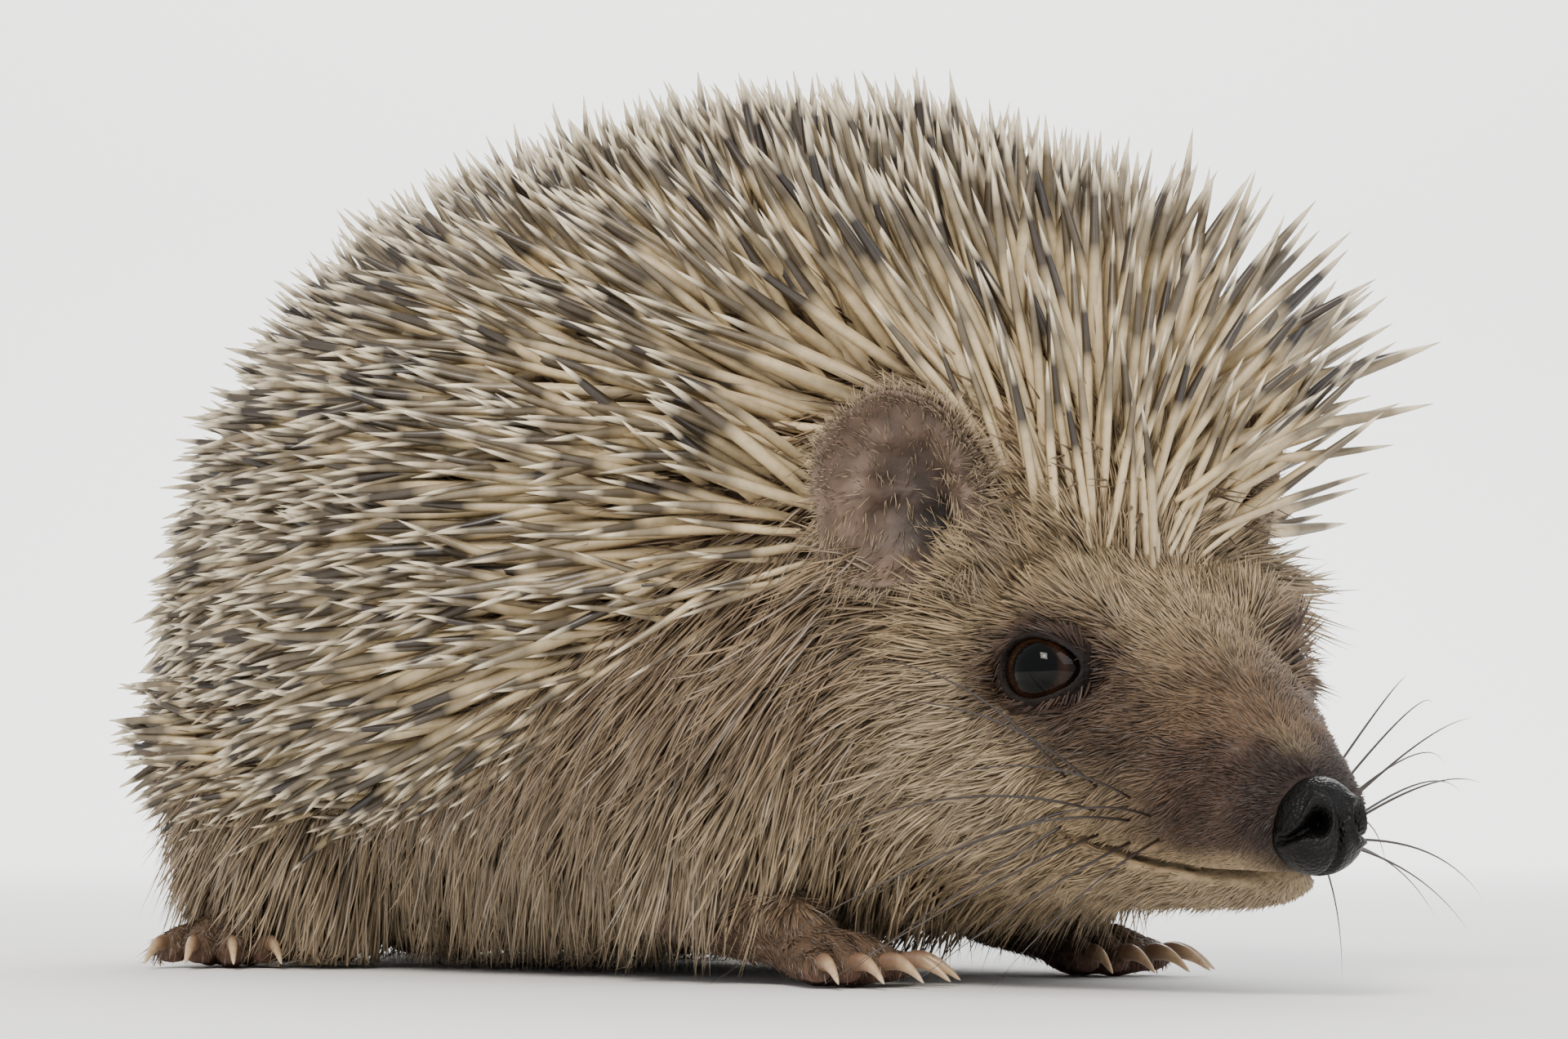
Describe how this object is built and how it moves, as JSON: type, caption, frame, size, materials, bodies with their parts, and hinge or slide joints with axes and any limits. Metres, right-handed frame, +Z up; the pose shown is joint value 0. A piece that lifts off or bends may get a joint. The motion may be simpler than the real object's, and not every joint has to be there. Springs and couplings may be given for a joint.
{
  "type": "hedgehog",
  "caption": "Life-size young European hedgehog standing low on its four feet with its head turned a little to its right and its spines half raised.",
  "frame": {"origin": "on the floor, under the middle of the whole animal", "axes": "+X runs forward along the body to the nose, +Y to the animal's left, +Z up"},
  "size_m": [0.212, 0.1166, 0.1096],
  "materials": {
    "fur": "coarse matt fur, greyish brown on the flanks and cream below",
    "face": "short matt fur, dark brown round the eyes and on the snout, paler on the forehead and cheeks",
    "spines": "hard satin keratin, cream with a dark brown band below the tip",
    "ear": "thin matt skin with fine down",
    "nose": "moist, nearly black, finely pebbled",
    "eye": "wet high gloss, nearly black",
    "paw": "matt grey-brown skin with sparse short hair",
    "claw": "satin horn, pale brown"
  },
  "bodies": {
    "root": {"trunk": "fur", "neck": "fur", "head": "face", "lower_jaw": "face", "nose": "nose", "eye_right": "eye", "ear_right": "ear", "eye_left": "eye", "ear_left": "ear", "spine_coat": "spines", "leg_fore_right": "fur", "paw_fore_right": "paw", "claw_fore_right_1": "claw", "claw_fore_right_2": "claw", "claw_fore_right_3": "claw", "claw_fore_right_4": "claw", "claw_fore_right_5": "claw", "leg_fore_left": "fur", "paw_fore_left": "paw", "claw_fore_left_1": "claw", "claw_fore_left_2": "claw", "claw_fore_left_3": "claw", "claw_fore_left_4": "claw", "claw_fore_left_5": "claw", "leg_hind_right": "fur", "paw_hind_right": "paw", "claw_hind_right_1": "claw", "claw_hind_right_2": "claw", "claw_hind_right_3": "claw", "claw_hind_right_4": "claw", "claw_hind_right_5": "claw", "leg_hind_left": "fur", "paw_hind_left": "paw", "claw_hind_left_1": "claw", "claw_hind_left_2": "claw", "claw_hind_left_3": "claw", "claw_hind_left_4": "claw", "claw_hind_left_5": "claw", "tail": "fur"}
  },
  "joints": []
}
